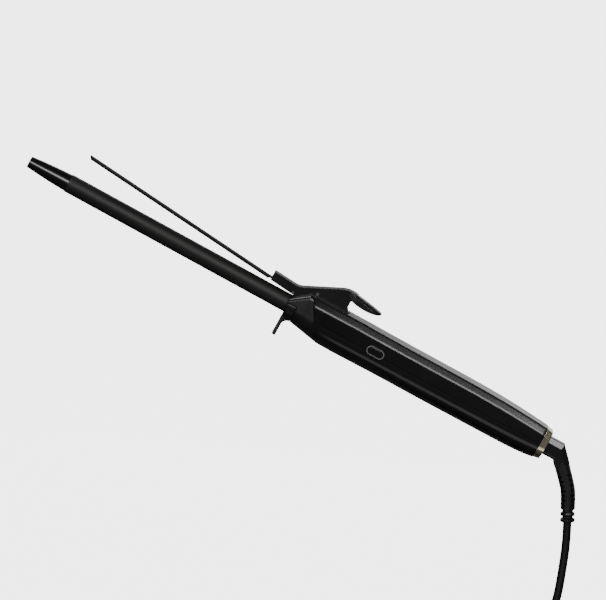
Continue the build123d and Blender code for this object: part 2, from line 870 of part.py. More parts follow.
button_face_y = bezel_y - 0.5
button_flange_y = bezel_y + bezel_depth + 0.3
button_flange_depth = 0.9
button_gap = 0.25
with BuildPart() as power_button:
    add(
        stadium(
            side(button_face_y),
            opening_length - 2 * button_gap,
            opening_height - 2 * button_gap,
            button_flange_y - button_face_y,
        )
    )
    add(stadium(side(button_flange_y), opening_length + 1.0, opening_height + 1.0, button_flange_depth))
power_button.part.label = "power_button"
export_step(power_button.part, "parts/power_button.step")

board_face_y = board_y - board_thickness / 2
board_back_y = board_y + board_thickness / 2
with BuildPart() as control_board:
    with BuildSketch(side(board_face_y)):
        Polygon(
            (board_front, -board_half_height),
            (board_rear, -board_half_height),
            (board_rear, board_half_height),
            (board_front, board_half_height),
            align=None,
        )
    extrude(amount=-board_thickness)
control_board.part.label = "control_board"
export_step(control_board.part, "parts/control_board.step")

plunger_radius = 1.6
plunger_y = button_flange_y + button_flange_depth + button_travel + 0.1
with BuildPart() as tact_switch:
    with BuildSketch(side(board_face_y)):
        with Locations((button_s, button_h)):
            Rectangle(switch_size, switch_size)
    extrude(amount=switch_depth)
    with BuildSketch(side(board_face_y)):
        with Locations((button_s, button_h)):
            Circle(plunger_radius)
    extrude(amount=board_face_y - plunger_y)
tact_switch.part.label = "tact_switch"
export_step(tact_switch.part, "parts/tact_switch.step")

connector_length = 6.0
connector_height = 8.0
connector_depth = 4.0
front_connector_s = board_front + 2
rear_connector_s = board_rear - 2 - connector_length
with BuildPart() as board_parts:
    with BuildSketch(side(board_back_y)):
        for s in (front_connector_s, rear_connector_s):
            with Locations((s + connector_length / 2, 0)):
                Rectangle(connector_length, connector_height)
    extrude(amount=-connector_depth)
    with BuildSketch(side(board_back_y)):
        with Locations((-30, 0)):
            Circle(5)
        with Locations((-15, 3)):
            Rectangle(10, 5)
        with Locations((-15, -4)):
            Rectangle(10, 4.5)
    extrude(amount=-9)
    with BuildSketch(side(board_back_y)):
        with Locations((2, 1)):
            Rectangle(9, 9)
        with Locations((14, 2), (14, -3)):
            Rectangle(5, 3)
    extrude(amount=-2)
board_parts.part.label = "board_parts"
export_step(board_parts.part, "parts/board_parts.step")

lead_radius = 0.7
lead_bend = 4.0
lead_y = heater_width / 2 - lead_radius - seat_gap
connector_y = board_back_y + connector_depth / 2
lead_start = heater_rear + 0.1
with BuildPart() as heater_leads:
    for sign in (-1, 1):
        add(
            wire(
                [
                    at(lead_start, sign * lead_y, 0),
                    at(barrel_rear + 2, sign * lead_y, 0),
                    at(board_front - 6, connector_y, sign * 1.8),
                    at(front_connector_s, connector_y, sign * 1.8),
                ],
                lead_radius,
                lead_bend,
            )
        )
heater_leads.part.label = "heater_leads"
export_step(heater_leads.part, "parts/heater_leads.step")

# --- End ring and swivel ---

ring_front_size = (handle_half_width - 2.9, deck_height - 3.2, 2.9 - handle_depth)
ring_rear_size = (handle_half_width - 3.7, deck_height - 4.1, 3.7 - handle_depth)
with BuildPart() as end_ring:
    loft(
        [
            handle_section(ring_front, *ring_front_size, ridge_round),
            handle_section(ring_rear, *ring_rear_size, ridge_round),
        ],
        ruled=True,
    )
    with BuildSketch(across(ring_front)):
        Circle(neck_radius + moving_gap)
    extrude(amount=ring_rear - ring_front, mode=Mode.SUBTRACT)
end_ring.part.label = "end_ring"
export_step(end_ring.part, "parts/end_ring.step")

brush_size = 2.0
brush_y = 1.4
slip_ring_radius = flange_radius - seat_gap
brush_bottom = slip_ring_radius + 0.15
brush_top = 9.4
supply_lead_h = 8.8
slip_ring_places = [81.0, 85.5]
housing_room = shell_wall + tongue_wall + 2 * seat_gap


def slice_of(body, s, thickness):
    """Slice of the body from s on."""
    with BuildPart() as piece:
        add(body)
        add(
            slab([(s, far_up), (s + thickness, far_up), (s + thickness, far_down), (s, far_down)]),
            mode=Mode.INTERSECT,
        )
    return piece.part


def brush_blocks(play, bottom):
    """The two blocks of the contact springs, one for each slip ring, grown by play."""
    with BuildPart() as blocks:
        for s, y in zip(slip_ring_places, (-brush_y, brush_y)):
            with BuildSketch(across(s - brush_size / 2 - play)):
                with Locations((y, (bottom + brush_top) / 2)):
                    Rectangle(brush_size + 2 * play, brush_top - bottom)
            extrude(amount=brush_size + 2 * play)
    return blocks.part


with BuildPart() as swivel_housing:
    with BuildSketch(across(housing_front)):
        Circle(housing_radius)
    extrude(amount=housing_rear - housing_front)
    add(slice_of(handle_body(housing_room), housing_front, housing_wall))
    with BuildSketch(across(housing_front + housing_wall)):
        Circle(housing_bore)
    extrude(amount=housing_rear - housing_front - 2 * housing_wall, mode=Mode.SUBTRACT)
    with BuildSketch(across(housing_front + housing_wall)):
        Circle(neck_radius + moving_gap)
    extrude(amount=housing_rear - housing_front, mode=Mode.SUBTRACT)
    with BuildSketch(across(housing_front)):
        with Locations((0, supply_lead_h + 1)):
            Rectangle(2 * (brush_y + 1), 4)
    extrude(amount=housing_wall, mode=Mode.SUBTRACT)
    add(brush_blocks(2 * seat_gap, housing_bore - 2), mode=Mode.SUBTRACT)
swivel_housing.part.label = "swivel_housing"
export_step(swivel_housing.part, "parts/swivel_housing.step")

with BuildPart() as contact_springs:
    add(brush_blocks(0, brush_bottom))
contact_springs.part.label = "contact_springs"
export_step(contact_springs.part, "parts/contact_springs.step")

core_front = housing_front + housing_wall + 0.3
flange_rear = housing_rear - housing_wall - 0.3
with BuildPart() as swivel_core:
    with BuildSketch(across(core_front)):
        Circle(core_radius)
    extrude(amount=flange_rear - core_front)
    with BuildSketch(across(flange_rear)):
        Circle(flange_radius)
    extrude(amount=-2.0)
    with BuildSketch(across(flange_rear)):
        Circle(neck_radius)
    extrude(amount=elbow_front - flange_rear)
swivel_core.part.label = "swivel_core"
export_step(swivel_core.part, "parts/swivel_core.step")

slip_ring_width = 2.6
with BuildPart() as slip_rings:
    for s in slip_ring_places:
        with BuildSketch(across(s - slip_ring_width / 2)):
            Circle(slip_ring_radius)
            Circle(core_radius + pin_gap, mode=Mode.SUBTRACT)
        extrude(amount=slip_ring_width)
slip_rings.part.label = "slip_rings"
export_step(slip_rings.part, "parts/slip_rings.step")

supply_lead_radius = 0.6
with BuildPart() as supply_leads:
    for s, y, h in zip(slip_ring_places, (-brush_y, brush_y), (-1.8, 1.8)):
        add(
            wire(
                [
                    at(s - brush_size / 2 - pin_gap, y, supply_lead_h),
                    at(tail_seam_top, y, supply_lead_h),
                    at(board_rear + 14, connector_y, h),
                    at(rear_connector_s + connector_length, connector_y, h),
                ],
                supply_lead_radius,
                lead_bend,
            )
        )
supply_leads.part.label = "supply_leads"
export_step(supply_leads.part, "parts/supply_leads.step")

boot_first = Vector(boot_start[0], 0, boot_start[1])
boot_middle = Vector(boot_corner[0], 0, boot_corner[1])
boot_last = Vector(boot_end[0], 0, boot_end[1])
leg_dir = (boot_middle - boot_first).normalized()
leg_half_height = 5.35
leg_half_width = 5.0
ridge_share = 0.4


def elbow_section(plane, half_width, half_height):
    """Section of the elbow: a flat top with two facets, upright sides and rounded lower corners."""
    with BuildSketch(plane) as section:
        with BuildLine():
            Polyline(
                (half_width - 1.6, half_height),
                (half_width, ridge_share * half_height),
                (half_width, -half_height),
                (-half_width, -half_height),
                (-half_width, ridge_share * half_height),
                (1.6 - half_width, half_height),
                close=True,
            )
        make_face()
        fillet(section.vertices().sort_by(Axis.Y)[:2], 2.6)
        fillet(section.vertices().sort_by(Axis.Y)[-4:], 0.5)
    return section.sketch


def mitre_block(sign):
    """Everything before (-1) or behind (1) the leaning plane on which the elbow turns."""
    lean = (mitre_top - mitre_bottom) / (2 * elbow_half_height)
    middle = (mitre_top + mitre_bottom) / 2
    return slab(
        [
            (middle - lean * far_up, -far_up),
            (middle + lean * far_up, far_up),
            (middle + sign * far_rear, far_up),
            (middle + sign * far_rear, -far_up),
        ]
    )


with BuildPart() as elbow_block:
    extrude(elbow_section(across(elbow_front), elbow_half_width, elbow_half_height), amount=20)
    add(mitre_block(-1), mode=Mode.INTERSECT)

with BuildPart() as elbow_leg:
    leg_plane = Plane(origin=boot_first, x_dir=(0, 1, 0), z_dir=leg_dir)
    extrude(elbow_section(leg_plane, leg_half_width, leg_half_height), amount=leg_length)
    extrude(elbow_section(leg_plane, leg_half_width, leg_half_height), amount=-15)
    add(mitre_block(1), mode=Mode.INTERSECT)

with BuildPart() as swivel_elbow:
    add(elbow_block.part)
    add(elbow_leg.part)
swivel_elbow.part.label = "swivel_elbow"
export_step(swivel_elbow.part, "parts/swivel_elbow.step")

boot_groove_radius = 3.6
boot_grooves = [(-91.6, 1.6), (-95.7, 1.5)]
boot_top = boot_first + leg_dir * leg_length
boot_turn = 50.0
with BuildPart() as strain_relief:
    with BuildLine() as boot_path:
        FilletPolyline(boot_top, boot_middle, boot_last, radius=boot_turn)
    with BuildSketch(Plane(origin=boot_top, z_dir=leg_dir)):
        Circle(boot_radius)
    sweep(path=boot_path.line)
    for z, width in boot_grooves:
        groove_x = boot_last.X
        with BuildSketch(Plane.XY.offset(z)):
            with Locations((groove_x, 0)):
                Circle(2 * boot_radius)
                Circle(boot_groove_radius, mode=Mode.SUBTRACT)
        extrude(amount=-width, mode=Mode.SUBTRACT)
strain_relief.part.label = "strain_relief"
export_step(strain_relief.part, "parts/strain_relief.step")

# --- Cord, hank, tie and plug ---

route = [(x, 0, z) for x, z in cord_route]
route_radii = bend_radii(route)
print("cord arc radii", [round(radius, 1) for radius in route_radii])
with BuildPart() as cord_tube:
    with BuildLine() as cord_path:
        FilletPolyline(*route, radius=route_radii)
    with BuildSketch(Plane(origin=route[0], z_dir=cord_path.line % 0)) as cord_section:
        Circle(cord_diameter / 2)
    sweep(path=cord_path.line)
cord_tube.part.label = "cord_tube"
export_step(cord_tube.part, "parts/cord_tube.step")
tube_length = cord_path.wires()[0].length
swept = cord_section.sketch.area * tube_length
print("cord tube length", round(tube_length, 1), "volume check", round(cord_tube.part.volume / swept, 4))

hank_bottom = surface + tie_thickness - seat_gap
fold_outer = fold_inner + cord_diameter
hank_width = 2 * fold_outer + cord_diameter
hank_height = hank_layers * cord_diameter
hank_middle = hank_rear - hank_run / 2
hank_round = 2.4
with BuildPart() as cord_hank:
    with BuildSketch(Plane.XY.offset(hank_bottom)):
        with Locations((hank_middle, fold_outer)):
            SlotCenterToCenter(hank_run, hank_width)
    extrude(amount=hank_height)
    fillet(cord_hank.faces().sort_by(Axis.Z)[0].edges() + cord_hank.faces().sort_by(Axis.Z)[-1].edges(), hank_round)
cord_hank.part.label = "cord_hank"
export_step(cord_hank.part, "parts/cord_hank.step")

with BuildPart() as cord_tie:
    tie_plane = Plane(
        origin=(hank_middle - tie_width / 2, fold_outer, hank_bottom + hank_height / 2),
        x_dir=(0, 1, 0),
        z_dir=(1, 0, 0),
    )
    tie_inside = 2 * seat_gap
    with BuildSketch(tie_plane):
        RectangleRounded(
            hank_width + tie_inside + 2 * (tie_thickness - seat_gap),
            hank_height + 2 * tie_thickness - tie_inside,
            hank_round + tie_thickness - seat_gap,
        )
        RectangleRounded(hank_width + tie_inside, hank_height + tie_inside, hank_round, mode=Mode.SUBTRACT)
    extrude(amount=tie_width)
cord_tie.part.label = "cord_tie"
export_step(cord_tie.part, "parts/cord_tie.step")

plug_boot_front = hank_rear - hank_run - 3
plug_front = plug_boot_front - plug_boot_length
plug_shoulder = plug_front - 8
plug_face = plug_front - plug_length
plug_h = surface + plug_thickness / 2


def plug_section(x, width, thickness):
    """Section of the flat plug: a flattened hexagon with rounded corners."""
    with BuildSketch(Plane(origin=(x, 0, plug_h), x_dir=(0, 1, 0), z_dir=(-1, 0, 0))) as section:
        with BuildLine():
            Polyline(
                (width / 2, 0),
                (width / 2 - thickness / 3, thickness / 2),
                (thickness / 3 - width / 2, thickness / 2),
                (-width / 2, 0),
                (thickness / 3 - width / 2, -thickness / 2),
                (width / 2 - thickness / 3, -thickness / 2),
                close=True,
            )
        make_face()
        fillet(section.vertices(), 1.2)
    return section.sketch


def plug_boot_section(x, z, radius):
    with BuildSketch(Plane(origin=(x, 0, z), x_dir=(0, 1, 0), z_dir=(-1, 0, 0))) as section:
        Circle(radius)
    return section.sketch


boot_tip_radius = cord_diameter / 2 + 0.8
with BuildPart() as plug_body:
    loft(
        [
            plug_boot_section(plug_boot_front, hank_bottom + cord_diameter / 2, boot_tip_radius),
            plug_boot_section(plug_front, plug_h, 5.0),
        ],
        ruled=True,
    )
    loft(
        [plug_section(plug_front, 17, 11.0), plug_section(plug_shoulder, plug_width, plug_thickness)],
        ruled=True,
    )
    extrude(plug_section(plug_shoulder, plug_width, plug_thickness), amount=plug_shoulder - plug_face)
plug_body.part.label = "plug_body"
export_step(plug_body.part, "parts/plug_body.step")

with BuildPart() as plug_pins:
    with BuildSketch(Plane(origin=(plug_face, 0, plug_h), x_dir=(0, 1, 0), z_dir=(-1, 0, 0))):
        with Locations((-pin_spacing / 2, 0), (pin_spacing / 2, 0)):
            Circle(pin_radius)
    extrude(amount=pin_length)
    chamfer(plug_pins.edges().filter_by(GeomType.CIRCLE).group_by(Axis.X)[0], 0.5)
plug_pins.part.label = "plug_pins"
export_step(plug_pins.part, "parts/plug_pins.step")
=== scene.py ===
from math import atan2, cos, degrees, radians, sin

import bmesh
import bpy
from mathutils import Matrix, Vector


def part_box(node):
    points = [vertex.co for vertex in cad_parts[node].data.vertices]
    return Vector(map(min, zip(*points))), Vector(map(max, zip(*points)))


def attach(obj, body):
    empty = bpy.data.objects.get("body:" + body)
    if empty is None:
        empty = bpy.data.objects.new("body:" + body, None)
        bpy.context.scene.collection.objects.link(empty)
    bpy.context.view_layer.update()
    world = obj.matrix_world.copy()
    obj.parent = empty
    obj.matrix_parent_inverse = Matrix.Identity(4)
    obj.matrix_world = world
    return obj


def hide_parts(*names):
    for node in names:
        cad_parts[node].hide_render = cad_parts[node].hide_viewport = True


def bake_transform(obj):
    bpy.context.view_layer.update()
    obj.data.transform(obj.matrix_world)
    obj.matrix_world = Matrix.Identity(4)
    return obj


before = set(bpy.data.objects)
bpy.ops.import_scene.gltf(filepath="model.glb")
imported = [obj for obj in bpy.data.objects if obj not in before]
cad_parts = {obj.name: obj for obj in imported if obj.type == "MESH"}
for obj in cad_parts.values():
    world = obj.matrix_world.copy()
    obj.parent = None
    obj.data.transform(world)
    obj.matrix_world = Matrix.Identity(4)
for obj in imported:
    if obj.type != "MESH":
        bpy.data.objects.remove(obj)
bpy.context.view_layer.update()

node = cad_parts

# Studio: a pale sweep of paper under the iron and its hank, large soft lamps, and a long lens
# that sees the button side from slightly above.
world = bpy.data.worlds.new("studio_air")
bpy.context.scene.world = world
world.use_nodes = True
room = world.node_tree
far_wall = room.nodes["Background"]
far_wall.inputs["Color"].default_value = (1.0, 1.0, 1.0, 1.0)
far_wall.inputs["Strength"].default_value = 4.6
dim_room = room.nodes.new("ShaderNodeBackground")
dim_room.inputs["Color"].default_value = (1.0, 1.0, 1.0, 1.0)
dim_room.inputs["Strength"].default_value = 0.05
ray_kind = room.nodes.new("ShaderNodeLightPath")
either = room.nodes.new("ShaderNodeMixShader")
room.links.new(ray_kind.outputs["Is Camera Ray"], either.inputs[0])
room.links.new(dim_room.outputs[0], either.inputs[1])
room.links.new(far_wall.outputs[0], either.inputs[2])
room.links.new(either.outputs[0], room.nodes["World Output"].inputs["Surface"])

look_at = Vector((-0.0788, 0.0, 0.0509))
camera_azimuth = radians(2.0)
camera_elevation = radians(7.9)
camera_distance = 4.0
to_camera = Vector((
    sin(camera_azimuth) * cos(camera_elevation),
    -cos(camera_azimuth) * cos(camera_elevation),
    sin(camera_elevation),
))
camera = bpy.data.objects.new("studio_camera", bpy.data.cameras.new("studio_camera"))
bpy.context.scene.collection.objects.link(camera)
camera.location = look_at + to_camera * camera_distance
camera.rotation_mode = "QUATERNION"
camera.rotation_quaternion = (-to_camera).to_track_quat("-Z", "Y")
camera.data.sensor_width = 36.0
camera.data.lens = 87.75 * camera_distance
bpy.context.scene.camera = camera


def soft_lamp(name, place, aim, width, height, power):
    lamp = bpy.data.objects.new(name, bpy.data.lights.new(name, "AREA"))
    bpy.context.scene.collection.objects.link(lamp)
    lamp.data.shape = "RECTANGLE"
    lamp.data.size = width
    lamp.data.size_y = height
    lamp.data.energy = power
    lamp.visible_camera = False
    lamp.location = place
    lamp.rotation_mode = "QUATERNION"
    lamp.rotation_quaternion = (Vector(aim) - Vector(place)).to_track_quat("-Z", "Y")


soft_lamp("back_lamp", (-0.1, 1.9, 0.42), (-0.05, 0.0, 0.0), 2.6, 0.5, 0.35)
soft_lamp("rear_softbox", (-0.3, 1.5, 1.0), (0.0, 0.0, 0.0), 2.4, 0.5, 11.0)
soft_lamp("rear_glow", (0.35, 0.70, -0.19), (0.10, 0.15, 0.05), 1.5, 0.7, 3.2)
soft_lamp("top_lamp", (-0.5, 0.3, 1.6), (-0.1, 0.0, 0.0), 1.0, 0.4, 8.0)
soft_lamp("front_softbox", (0.25, -1.5, 0.68), (0.0, 0.0, 0.0), 2.2, 0.42, 30.0)
soft_lamp("under_lamp", (-0.01, -0.16, -0.19), (-0.02, 0.0, 0.0), 0.34, 0.10, 0.09)

floor_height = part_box("cord_tie")[0].z
bpy.ops.object.select_all(action="DESELECT")
bpy.ops.mesh.primitive_plane_add(size=40.0, location=(0.0, 0.0, floor_height - 0.0002))
paper = bpy.context.object
paper.name = "paper_floor"
bpy.ops.object.transform_apply(location=True, rotation=True, scale=True)


class Shade:
    """One socket of a material's nodes, so that the shading is written as sums and products."""

    def __init__(self, tree, socket=None):
        self.tree = tree
        self.socket = socket

    def node(self, kind, settings=None, out=0, **values):
        made = self.tree.nodes.new(kind)
        for name, value in (settings or {}).items():
            setattr(made, name, value)
        for name, value in values.items():
            socket = made.inputs[int(name[1:])] if name[0] == "_" else made.inputs[name.replace("_", " ")]
            if isinstance(value, Shade):
                self.tree.links.new(value.socket, socket)
            else:
                socket.default_value = value
        return Shade(self.tree, made.outputs[out])

    def math(self, operation, first, second):
        return self.node("ShaderNodeMath", {"operation": operation}, _0=first, _1=second)

    def __add__(self, other):
        return self.math("ADD", self, other)

    def __radd__(self, other):
        return self.math("ADD", self, other)

    def __sub__(self, other):
        return self.math("SUBTRACT", self, other)

    def __rsub__(self, other):
        return self.math("SUBTRACT", other, self)

    def __mul__(self, other):
        return self.math("MULTIPLY", self, other)

    def __rmul__(self, other):
        return self.math("MULTIPLY", self, other)

    def place(self):
        """Where a point lies on the piece, in metres."""
        return self.node("ShaderNodeTexCoord", out=3)

    def noise(self, place, scale, **values):
        return self.node("ShaderNodeTexNoise", {}, Vector=place, Scale=scale, **values)

    def between(self, dark, light):
        """A colour from dark to light, as this value goes from 0 to 1."""
        colours = {"_6": (*dark, 1.0), "_7": (*light, 1.0)}
        return self.node("ShaderNodeMix", {"data_type": "RGBA"}, out=2, _0=self, **colours)

    def step(self, low, high):
        """0 below low, 1 above high, smooth between."""
        settings = {"interpolation_type": "SMOOTHSTEP"}
        return self.node("ShaderNodeMapRange", settings, Value=self, From_Min=low, From_Max=high)


def finish_of(name, base, roughness, metallic=0.0, **constants):
    """A new material with one Principled shader. Returns it, a Shade on its tree and the shader."""
    material = bpy.data.materials.new(name)
    material.use_nodes = True
    shader = material.node_tree.nodes["Principled BSDF"]
    shader.inputs["Base Color"].default_value = (*base, 1.0)
    shader.inputs["Roughness"].default_value = roughness
    shader.inputs["Metallic"].default_value = metallic
    for socket, value in constants.items():
        shader.inputs[socket.replace("_", " ")].default_value = value
    return material, Shade(material.node_tree), shader


def feed(shade, shader, **links):
    for socket, value in links.items():
        shade.tree.links.new(value.socket, shader.inputs[socket.replace("_", " ")])


paper_tone = (0.06, 0.06, 0.06)
paper_sheet, shade, shader = finish_of("studio_paper", paper_tone, 0.9, Emission_Color=(1.0, 1.0, 1.0, 1.0))
seen = shade.node("ShaderNodeLightPath")
tooth = shade.noise(shade.place(), 900.0)
feed(
    shade,
    shader,
    Emission_Strength=seen * 4.2,
    Normal=shade.node("ShaderNodeBump", {}, Height=tooth, Strength=0.05, Distance=0.0001),
)
paper.data.materials.append(paper_sheet)

# Mains lead: round two-core flex, 5.9 mm over its PVC sheath. It hangs from the strain relief, bends on to
# the table and goes into a neat hank of three layers with a hook-and-loop tie. About 1.77 m in all.
lead_diameter = 0.0059
hank_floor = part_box("cord_hank")[0].z
hank_axis_y = 0.0229
outer_turn = 0.0229
inner_turn = 0.0170
run_rear = 0.048
run_front = -0.047


def layer_z(level):
    return hank_floor + lead_diameter * (0.5 + level)


def fold(x, sign, start_y, end_y, levels):
    """Four route points round a fold of the hank, from one run to another."""
    middle_y = (start_y + end_y) / 2
    half = (end_y - start_y) / 2
    reach = abs(half) / cos(radians(22.5))
    points = []
    for turn, level in zip((22.5, 67.5, 112.5, 157.5), levels):
        across = cos(radians(turn)) * reach * (1 if half > 0 else -1)
        points.append((x + sign * sin(radians(turn)) * reach, middle_y - across, layer_z(level)))
    return points


near_outer, near_inner, far_inner, far_outer = (
    hank_axis_y - outer_turn, hank_axis_y - inner_turn, hank_axis_y + inner_turn, hank_axis_y + outer_turn
)
lead_route = [
    (0.1009, 0.0, -0.1000),
    (0.1004, 0.0, -0.1140),
    (0.0978, 0.0, -0.1330),
    (0.0942, 0.0, -0.1540),
    (0.0882, 0.0, -0.1700),
    (0.0774, 0.0, -0.1815),
    (0.0636, 0.0, -0.1869),
    (0.0510, 0.0, -0.18725),
    (0.0200, 0.0, layer_z(2.0)),
    (-0.0120, 0.0004, layer_z(2.0)),
    (-0.0380, 0.0, layer_z(2.15)),
]
# Each turn, from the top down: y where it starts, y of its far run, levels round its front fold, levels of
# the far and near runs, and y where it ends
turns = [
    (near_outer, far_inner, (2.5, 3.0, 3.0, 2.5), 2, 2, near_inner),
    (near_inner, far_outer, (2.0, 2.0, 2.0, 1.9), 2, 1, near_outer),
    (near_outer, far_inner, (1.0, 1.0, 1.0, 1.0), 1, 1, near_inner),
    (near_inner, far_inner, (0.85, 0.65, 0.35, 0.15), 0, 0, near_inner),
    (near_inner, far_outer, (0.0, 0.0, 0.0, 0.0), 0, 0, near_outer),
]
for number, (start_y, far_y, front_levels, far_level, near_level, end_y) in enumerate(turns):
    loose = 0.0007 * (-1) ** number
    lead_route += fold(run_front - loose, -1, start_y, far_y, front_levels)
    far_levels = (1.6, 1.15, 1.0) if (far_level, near_level) == (2, 1) else (far_level,) * 3
    far_y_eased = far_y + loose * 0.4
    lead_route += [(x, far_y_eased, layer_z(level)) for x, level in zip((-0.034, 0.001, 0.035), far_levels)]
    lead_route += fold(run_rear - loose, 1, far_y, end_y, (near_level,) * 4)
    lead_route += [(x, end_y, layer_z(near_level)) for x in (0.036, 0.002, -0.033)]
lead_route.append((-0.0520, 0.0, layer_z(0)))


def smooth_line(name, points, steps):
    """A NURBS curve object with the given control points."""
    line = bpy.data.curves.new(name, "CURVE")
    line.dimensions = "3D"
    spline = line.splines.new("NURBS")
    spline.points.add(len(points) - 1)
    for point, place in zip(spline.points, points):
        point.co = (*place, 1.0)
    spline.order_u = 3
    spline.use_endpoint_u = True
    line.resolution_u = steps
    made = bpy.data.objects.new(name, line)
    bpy.context.scene.collection.objects.link(made)
    return made


lead = smooth_line("mains_lead", lead_route, 10)
lead_line = lead.data
bare_line = bpy.data.meshes.new_from_object(lead)
lead_line.bevel_depth = lead_diameter / 2
lead_line.bevel_resolution = 5
lead_line.use_fill_caps = True
bpy.ops.object.select_all(action="DESELECT")
bpy.context.view_layer.objects.active = lead
lead.select_set(True)
bpy.ops.object.convert(target="MESH")
lead = bpy.context.object
bpy.ops.object.shade_smooth_by_angle(angle=radians(40))


def moulded_plastic(name, tone, roughness, grain, depth, edge=0.0004, coat=0.0, spread=0.06, wear=0.35):
    """Black moulded plastic: softened arrises, fine spark-eroded grain and a slow drift of the gloss."""
    material, shade, shader = finish_of(name, tone, roughness, Coat_Weight=coat, Coat_Roughness=0.10)
    place = shade.place()
    drift = shade.noise(place, 70.0, Detail=3.0)
    fine = shade.noise(place, grain, Detail=2.0)
    rub = shade.noise(place, 28.0, Detail=5.0, Roughness=0.7).step(0.52, 0.72)
    tint = (rub * wear).between(tone, [part * 1.6 + 0.002 for part in tone])
    values = {"Height": fine, "Strength": depth, "Distance": 0.00005}
    if edge:
        values["Normal"] = shade.node("ShaderNodeBevel", {"samples": 8}, Radius=edge)
    bump = shade.node("ShaderNodeBump", {}, **values)
    feed(shade, shader, Base_Color=tint, Roughness=(drift - 0.5) * spread + roughness + rub * 0.04, Normal=bump)
    return material


lead_sheath = moulded_plastic("pvc_sheath", (0.004, 0.004, 0.0043), 0.42, 900.0, 0.25)
lead_sheath.node_tree.nodes["Principled BSDF"].inputs["Specular IOR Level"].default_value = 0.3
lead.data.materials.clear()
lead.data.materials.append(lead_sheath)
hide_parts("cord_tube", "cord_hank")
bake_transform(lead)

# Hook-and-loop tie: a 16 mm woven band once round the middle of the hank, with its free end lapped
# over itself on the near side.


def block(name, middle, size):
    """A box to start a piece from, with its place in its mesh."""
    bpy.ops.object.select_all(action="DESELECT")
    bpy.ops.mesh.primitive_cube_add(size=1.0, location=middle)
    made = bpy.context.object
    made.name = name
    made.scale = size
    bpy.ops.object.transform_apply(location=True, rotation=True, scale=True)
    return made


def choose(piece, kind, wanted):
    """Selects the faces, edges or verts of a piece in edit mode that wanted() is true for."""
    bpy.ops.mesh.select_all(action="DESELECT")
    cage = bmesh.from_edit_mesh(piece.data)
    for part in getattr(cage, kind):
        part.select = wanted(part)
    bmesh.update_edit_mesh(piece.data)


def reach_in_x(edge):
    return abs(edge.verts[0].co.x - edge.verts[1].co.x)


tie_low, tie_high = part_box("cord_tie")
tie_middle = (tie_low + tie_high) / 2
tie_width = tie_high.x - tie_low.x
band_thickness = 0.0010
tie_corner = 0.0034
tie_inside = (
    tie_width - 0.0004,
    tie_high.y - tie_low.y - 2 * band_thickness,
    tie_high.z - tie_low.z - 2 * band_thickness,
)
tie = block("hank_tie", tie_middle, tie_inside)
bpy.ops.object.mode_set(mode="EDIT")
choose(tie, "faces", lambda face: abs(face.normal.x) > 0.9)
bpy.ops.mesh.delete(type="ONLY_FACE")
choose(tie, "edges", lambda edge: reach_in_x(edge) > 0.01)
bpy.ops.mesh.bevel(offset=tie_corner, segments=6, affect="EDGES")
bpy.ops.mesh.select_all(action="SELECT")
for x in (-0.0072, -0.0064, 0.0064, 0.0072):
    bpy.ops.mesh.bisect(plane_co=(tie_middle.x + x, 0, 0), plane_no=(1, 0, 0))
    bpy.ops.mesh.select_all(action="SELECT")
for y in (-0.020, -0.010, 0.0, 0.010, 0.020):
    bpy.ops.mesh.bisect(plane_co=(0, tie_middle.y + y, 0), plane_no=(0, 1, 0))
    bpy.ops.mesh.select_all(action="SELECT")
bpy.ops.mesh.normals_make_consistent(inside=False)
bpy.ops.object.mode_set(mode="OBJECT")
wall = tie.modifiers.new("wall", "SOLIDIFY")
wall.thickness = band_thickness
wall.offset = 1.0
bpy.ops.object.modifier_apply(modifier="wall")

lap_middle = (tie_middle.x, tie_low.y + 0.0005, tie_middle.z + 0.0010)
lap = block("hank_tie_lap", lap_middle, (tie_width - 0.0006, 0.0008, 0.0110))
bpy.ops.object.mode_set(mode="EDIT")
bpy.ops.mesh.select_all(action="SELECT")
bpy.ops.mesh.subdivide(number_cuts=3)
choose(lap, "verts", lambda vertex: vertex.co.z < tie_middle.z - 0.0030)
bpy.ops.transform.resize(value=(0.82, 1.0, 1.0), center_override=tie_middle)
bpy.ops.transform.translate(value=(0, -0.0003, 0))
bpy.ops.object.mode_set(mode="OBJECT")
soft_edge = lap.modifiers.new("soft_edge", "BEVEL")
soft_edge.width = 0.0002
soft_edge.segments = 2
bpy.ops.object.modifier_apply(modifier="soft_edge")

woven_band, shade, shader = finish_of("woven_band", (0.012, 0.012, 0.013), 0.85)
place = shade.place()
warp = shade.node("ShaderNodeTexWave", {"bands_direction": "X"}, Vector=place, Scale=420.0, Distortion=0.6)
weft_way = {"bands_direction": "DIAGONAL"}
weft = shade.node("ShaderNodeTexWave", weft_way, Vector=place, Scale=300.0, Distortion=0.8)
fuzz = shade.noise(place, 1600.0, Detail=3.0)
weave = warp * weft
tint = (weave * 0.6 + fuzz * 0.4).between((0.006, 0.006, 0.007), (0.035, 0.035, 0.037))
bump = shade.node("ShaderNodeBump", {}, Height=weave + fuzz * 0.5, Strength=0.7, Distance=0.0002)
feed(shade, shader, Base_Color=tint, Roughness=fuzz * 0.2 + 0.72, Normal=bump)
for piece in (tie, lap):
    piece.data.materials.append(woven_band)
    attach(piece, "handle")
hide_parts("cord_tie")


# Strain relief: a soft moulded sleeve over the lead, smooth where it grips the elbow, then slotted so that
# it bends evenly, with two grooves and a bead at the end.


